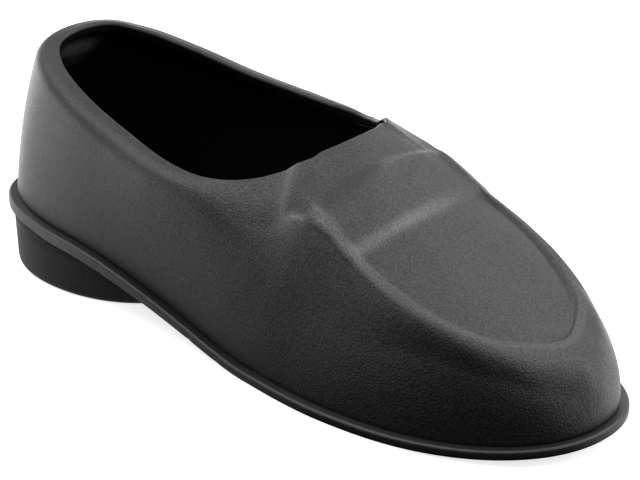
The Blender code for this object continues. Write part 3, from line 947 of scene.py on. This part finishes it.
class OvershoeFinish(bpy.types.PropertyGroup):
    """Colours and surface of the rubber."""
    rubber: bpy.props.FloatVectorProperty(
        name="Rubber", description="Colour of the rubber",
        default=(0.0085, 0.0084, 0.0086), subtype="COLOR", size=3)
    # pale colour of dust specks, rubbed wear and painted highlights
    dust_and_highlight_colour: bpy.props.FloatVectorProperty(
        name="Dust", description="Colour of settled dust",
        default=(0.16, 0.155, 0.15), subtype="COLOR", size=3)
    roughness: bpy.props.FloatProperty(
        name="Roughness", description="Mean roughness of the rubber",
        default=0.5, min=0.0, max=1.0, subtype="FACTOR")
    gloss: bpy.props.FloatProperty(
        name="Gloss", description="Specular level of the rubber",
        default=0.5, min=0.0, max=1.0, subtype="FACTOR")
    grain_pitch: bpy.props.FloatProperty(
        name="Grain pitch", description="Spacing of the moulded grain", default=0.0007, unit="LENGTH")
    grain_depth: bpy.props.FloatProperty(
        name="Grain depth", description="Height of the moulded grain", default=0.0004, unit="LENGTH")
    grain_strength: bpy.props.FloatProperty(
        name="Grain strength", description="Strength of the grain",
        default=0.8, min=0.0, max=1.0, subtype="FACTOR")
    grain_tint: bpy.props.FloatProperty(
        name="Grain tint", description="How much paler the grain's peaks are",
        default=0.85, min=0.0, max=1.0, subtype="FACTOR")
    grain_polish: bpy.props.FloatProperty(
        name="Grain polish", description="How much shinier the grain's peaks are",
        default=0.5, min=0.0, max=1.0, subtype="FACTOR")
    # coat added by rubbed wear and painted highlights, and taken away by painted shade
    rub_and_painted_light_polish: bpy.props.FloatProperty(
        name="Edge polish", description="How much shinier rubbed edges are",
        default=0.5, min=0.0, max=1.0, subtype="FACTOR")
    dust: bpy.props.FloatProperty(
        name="Dust amount", description="Share of places with a speck",
        default=0.05, min=0.0, max=1.0, subtype="FACTOR")
    # paleness given by rubbed wear and by painted highlights
    rub_and_painted_light: bpy.props.FloatProperty(
        name="Rubbed edges", description="Paleness of rubbed edges",
        default=0.25, min=0.0, max=1.0, subtype="FACTOR")


class OvershoeStage(bpy.types.PropertyGroup):
    """Floor and light."""
    floor: bpy.props.FloatVectorProperty(
        name="Floor", description="Colour of the floor",
        default=(0.86, 0.86, 0.86), subtype="COLOR", size=3)
    floor_size: bpy.props.FloatProperty(
        name="Floor size", description="Side of the floor", default=14.0, unit="LENGTH")
    floor_glow: bpy.props.FloatProperty(
        name="Floor lift", description="Evenness added to the floor as seen", default=0.75, min=0.0)
    floor_bounce: bpy.props.FloatProperty(
        name="Floor bounce", description="Light the paper sends up to the shoe", default=1.0, min=0.0)
    light: bpy.props.FloatProperty(
        name="Light", description="Strength of the soft boxes", default=1.0, min=0.0)
    surround: bpy.props.FloatProperty(
        name="Surround", description="Strength of the surrounding light", default=0.02, min=0.0)


class OVERSHOE_OT_upper(bpy.types.Operator):
    """Moulds the hollow upper with its collar, tongue panel, saddle and apron ridge"""
    bl_idname = "overshoe.upper"
    bl_label = "Upper"

    def execute(self, context):
        finish = context.scene.overshoe_finish
        grid, skin, wear_and_painted_light = upper_grid(context.scene.overshoe_sizes)
        mat = rubber_material("upper_rubber", finish, finish.grain_pitch, has_masks=True)
        inside = rubber_material("inside_rubber", finish, *INSIDE_FINISH_AND_SHADE, has_masks=True)
        faces = ring_faces(grid.shape[0], grid.shape[1])
        piece = add_piece("upper_skin", place(grid).reshape(-1, 3), faces, mat, "upper")
        add_mask(piece, "skin", skin)
        add_mask(piece, "rub_and_painted_light", wear_and_painted_light)
        piece.data.materials.append(inside)
        hidden = skin.ravel() == 0.0
        for polygon in piece.data.polygons:
            if any(hidden[k] for k in polygon.vertices):
                polygon.material_index = 1
        return {"FINISHED"}


class OVERSHOE_OT_outsole(bpy.types.Operator):
    """Makes the sole plate with its rounded flange, heel seat, arch and toe spring"""
    bl_idname = "overshoe.outsole"
    bl_label = "Outsole"

    def execute(self, context):
        finish = context.scene.overshoe_finish
        r = context.scene.overshoe_sizes.sole_round / MM
        q = np.linspace(0.0, 1.0, SOLE_STATIONS + 1)
        x_edge = sole_point(q)[0]
        nick = sum(d * np.exp(-((x_edge - x) / w) ** 2) for x, w, d in SOLE_NICKS)
        bends = [0.5 * math.pi * k / SOLE_BENDS for k in range(SOLE_BENDS + 1)]
        rounds = [(r * (1 - math.sin(a)), r * (1 - math.cos(a)), 0.0) for a in bends]
        rounds += [(inset, -rise, 1.0) for inset, rise, _ in reversed(rounds)]
        rounds = [(SOLE_FACE_INSET, 0.0, 0.0)] + rounds + [(SOLE_FACE_INSET, 0.0, 1.0)]
        loops = []
        for inset, rise, upper_edge in rounds:
            x, y = sole_point(q, inset + nick + 1e-6)
            xl, yl = sole_point(q, inset + 1e-6)
            z = sole_bottom(x) + rise + upper_edge * sole_thick(x)
            zl = sole_bottom(xl) + rise + upper_edge * sole_thick(xl)
            right = np.stack([x, centre(x) - y, z], -1)
            left = np.stack([xl, centre(xl) + yl, zl], -1)
            loops.append(np.concatenate([right, left[1:-1][::-1]], 0))
        verts = place(np.stack(loops)).reshape(-1, 3)
        mat = rubber_material("outsole_rubber", finish, *OUTSOLE_FINISH_AND_LIGHT)
        faces = loop_faces(len(loops), len(loops[0]))
        add_piece("outsole_plate", verts, faces, mat, "outsole")
        return {"FINISHED"}


class OVERSHOE_OT_heel(bpy.types.Operator):
    """Makes the oval heel block with a rounded lower edge"""
    bl_idname = "overshoe.heel"
    bl_label = "Heel"

    def execute(self, context):
        finish = context.scene.overshoe_finish
        r = context.scene.overshoe_sizes.heel_round / MM
        a = np.linspace(0.0, 2 * np.pi, HEEL_POINTS, endpoint=False)
        ex = np.sign(np.cos(a)) * np.abs(np.cos(a)) ** (2 / HEEL_POWER)
        ey = np.sign(np.sin(a)) * np.abs(np.sin(a)) ** (2 / HEEL_POWER)
        mid = (HEEL_BACK + HEEL_FRONT) / 2
        long_half = (HEEL_FRONT - HEEL_BACK) / 2
        bends = [0.5 * math.pi * k / HEEL_BENDS for k in range(HEEL_BENDS + 1)]
        rounds = [(HEEL_TAPER + r * (1 - math.sin(b)), r * (1 - math.cos(b))) for b in bends]
        levels = [(HEEL_TAPER + r + HEEL_FOOT_INSET, 0.0, 0.0)]
        levels += [(inset, rise, 0.0) for inset, rise in rounds]
        levels += [(HEEL_TAPER * (1 - k), 0.0, k) for k in HEEL_LEVELS] + [(HEEL_TOP_INSET, 0.0, 1.0)]
        loops = []
        for inset, rise, up in levels:
            x = mid - (long_half - inset) * ex
            y = -(HEEL_HALF_WIDTH - inset) * ey
            top = sole_bottom(x) - GAP
            z = rise + (top - r) * up + r * (up > 0)
            loops.append(np.stack([x, y, z], -1))
        verts = place(np.stack(loops)).reshape(-1, 3)
        mat = rubber_material("heel_rubber", finish, *HEEL_FINISH_AND_SHADE)
        add_piece("heel_block", verts, loop_faces(len(loops), HEEL_POINTS), mat, "heel")
        return {"FINISHED"}


def add_light(name, azimuth, elevation, size, radiance):
    az = math.radians(azimuth)
    el = math.radians(elevation)
    away = Vector((math.cos(el) * math.cos(az), math.cos(el) * math.sin(az), math.sin(el)))
    data = bpy.data.lights.new(name, "AREA")
    data.shape = "RECTANGLE"
    data.size, data.size_y = size
    data.energy = math.pi * size[0] * size[1] * radiance
    data.color = LIGHT_COLOUR
    light = bpy.data.objects.new(name, data)
    light.location = away * LIGHT_DISTANCE + Vector((0.0, 0.0, 0.05))
    light.rotation_euler = away.to_track_quat("Z", "Y").to_euler()
    bpy.context.scene.collection.objects.link(light)


def add_camera():
    az = math.radians(CAMERA_AZIMUTH)
    el = math.radians(CAMERA_ELEVATION)
    roll = math.radians(CAMERA_ROLL)
    away = Vector((math.cos(az) * math.cos(el), -math.sin(az) * math.cos(el), math.sin(el)))
    right = (-away).cross(Vector((0, 0, 1))).normalized()
    up = right.cross(-away)
    x_axis = math.cos(roll) * right + math.sin(roll) * up
    y_axis = -math.sin(roll) * right + math.cos(roll) * up
    turn = Matrix((x_axis, y_axis, away)).transposed().to_4x4()
    data = bpy.data.cameras.new("camera")
    data.sensor_width = SENSOR_WIDTH
    data.lens = CAMERA_FOCUS_PX * SENSOR_WIDTH / IMAGE_SIZE[0]
    camera = bpy.data.objects.new("camera", data)
    camera.matrix_world = Matrix.Translation(Vector(CAMERA_TARGET) + CAMERA_DISTANCE * away) @ turn
    bpy.context.scene.collection.objects.link(camera)
    bpy.context.scene.camera = camera


def floor_material(stage):
    """Pale paper that the camera sees evenly lit, and whose near side throws little light at the shoe."""
    paint = bpy.data.materials.new("floor_paper")
    paint.use_nodes = True
    tree = paint.node_tree
    link = tree.links.new
    shader = tree.nodes["Principled BSDF"]
    shader.inputs["Roughness"].default_value = 0.9
    shader.inputs["Specular IOR Level"].default_value = 0.0
    path = node(tree, "ShaderNodeLightPath").outputs["Is Camera Ray"]
    where = node(tree, "ShaderNodeTexCoord").outputs["Object"]
    axes = node(tree, "ShaderNodeSeparateXYZ")
    link(where, axes.inputs[0])
    lit = node(tree, "ShaderNodeMix")
    link(ramp_node(tree, axes.outputs["X"], FLOOR_NEAR), lit.inputs["A"])
    link(ramp_node(tree, axes.outputs["X"], FLOOR_FAR), lit.inputs["B"])
    link(ramp_node(tree, axes.outputs["Y"], FLOOR_DIVIDE, "SMOOTHSTEP"), lit.inputs["Factor"])
    colour = node(tree, "ShaderNodeMix", data_type="RGBA")
    colour.inputs["A"].default_value = (0.0, 0.0, 0.0, 1.0)
    colour.inputs["B"].default_value = (*stage.floor, 1.0)
    link(path, colour.inputs["Factor"])
    link(colour.outputs["Result"], shader.inputs["Base Color"])
    shader.inputs["Emission Color"].default_value = (1.0, 1.0, 1.0, 1.0)
    glow = node(tree, "ShaderNodeMix")
    glow.inputs["B"].default_value = stage.floor_glow
    link(path, glow.inputs["Factor"])
    link(math_node(tree, "MULTIPLY", lit.outputs["Result"], stage.floor_bounce), glow.inputs["A"])
    link(glow.outputs["Result"], shader.inputs["Emission Strength"])
    return paint


class OVERSHOE_OT_stage(bpy.types.Operator):
    """Lays a pale floor, soft lights and the camera"""
    bl_idname = "overshoe.stage"
    bl_label = "Stage"

    def execute(self, context):
        stage = context.scene.overshoe_stage
        half = stage.floor_size / 2
        mesh = bpy.data.meshes.new("floor")
        corners = [(-half, -half, 0), (half, -half, 0), (half, half, 0), (-half, half, 0)]
        mesh.from_pydata(corners, [], [(0, 1, 2, 3)])
        floor = bpy.data.objects.new("floor", mesh)
        context.scene.collection.objects.link(floor)
        paint = floor_material(stage)
        mesh.materials.append(paint)
        world = bpy.data.worlds.new("surround")
        world.use_nodes = True
        sky = world.node_tree.nodes["Background"]
        sky.inputs["Color"].default_value = (1.0, 1.0, 1.0, 1.0)
        sky.inputs["Strength"].default_value = stage.surround
        context.scene.world = world
        for name, azimuth, elevation, width, height, radiance in LIGHTS:
            add_light(name, azimuth, elevation, (width, height), radiance * stage.light)
        add_camera()
        context.scene.view_settings.view_transform = "Standard"
        return {"FINISHED"}


class OVERSHOE_PT_sidebar(bpy.types.Panel):
    """Lists the pieces and their values"""
    bl_label = "Overshoe"
    bl_idname = "OVERSHOE_PT_sidebar"
    bl_space_type = "VIEW_3D"
    bl_region_type = "UI"
    bl_category = "Overshoe"

    def draw(self, context):
        for kind in PIECES:
            self.layout.operator(kind.bl_idname)
        scene = context.scene
        for label, values in (
            ("Sizes", scene.overshoe_sizes),
            ("Finish", scene.overshoe_finish),
            ("Stage", scene.overshoe_stage),
        ):
            box = self.layout.box()
            box.label(text=label)
            for key in values.__annotations__:
                box.prop(values, key)


PIECES = (OVERSHOE_OT_upper, OVERSHOE_OT_outsole, OVERSHOE_OT_heel, OVERSHOE_OT_stage)
GROUPS = (OvershoeSizes, OvershoeFinish, OvershoeStage)


def register():
    for kind in GROUPS + PIECES + (OVERSHOE_PT_sidebar,):
        bpy.utils.register_class(kind)
    bpy.types.Scene.overshoe_sizes = bpy.props.PointerProperty(type=OvershoeSizes)
    bpy.types.Scene.overshoe_finish = bpy.props.PointerProperty(type=OvershoeFinish)
    bpy.types.Scene.overshoe_stage = bpy.props.PointerProperty(type=OvershoeStage)


def unregister():
    del bpy.types.Scene.overshoe_stage
    del bpy.types.Scene.overshoe_finish
    del bpy.types.Scene.overshoe_sizes
    for kind in reversed(GROUPS + PIECES + (OVERSHOE_PT_sidebar,)):
        bpy.utils.unregister_class(kind)


def main():
    register()
    bpy.ops.overshoe.upper()
    bpy.ops.overshoe.outsole()
    bpy.ops.overshoe.heel()
    bpy.ops.overshoe.stage()


if __name__ == "__main__":
    main()
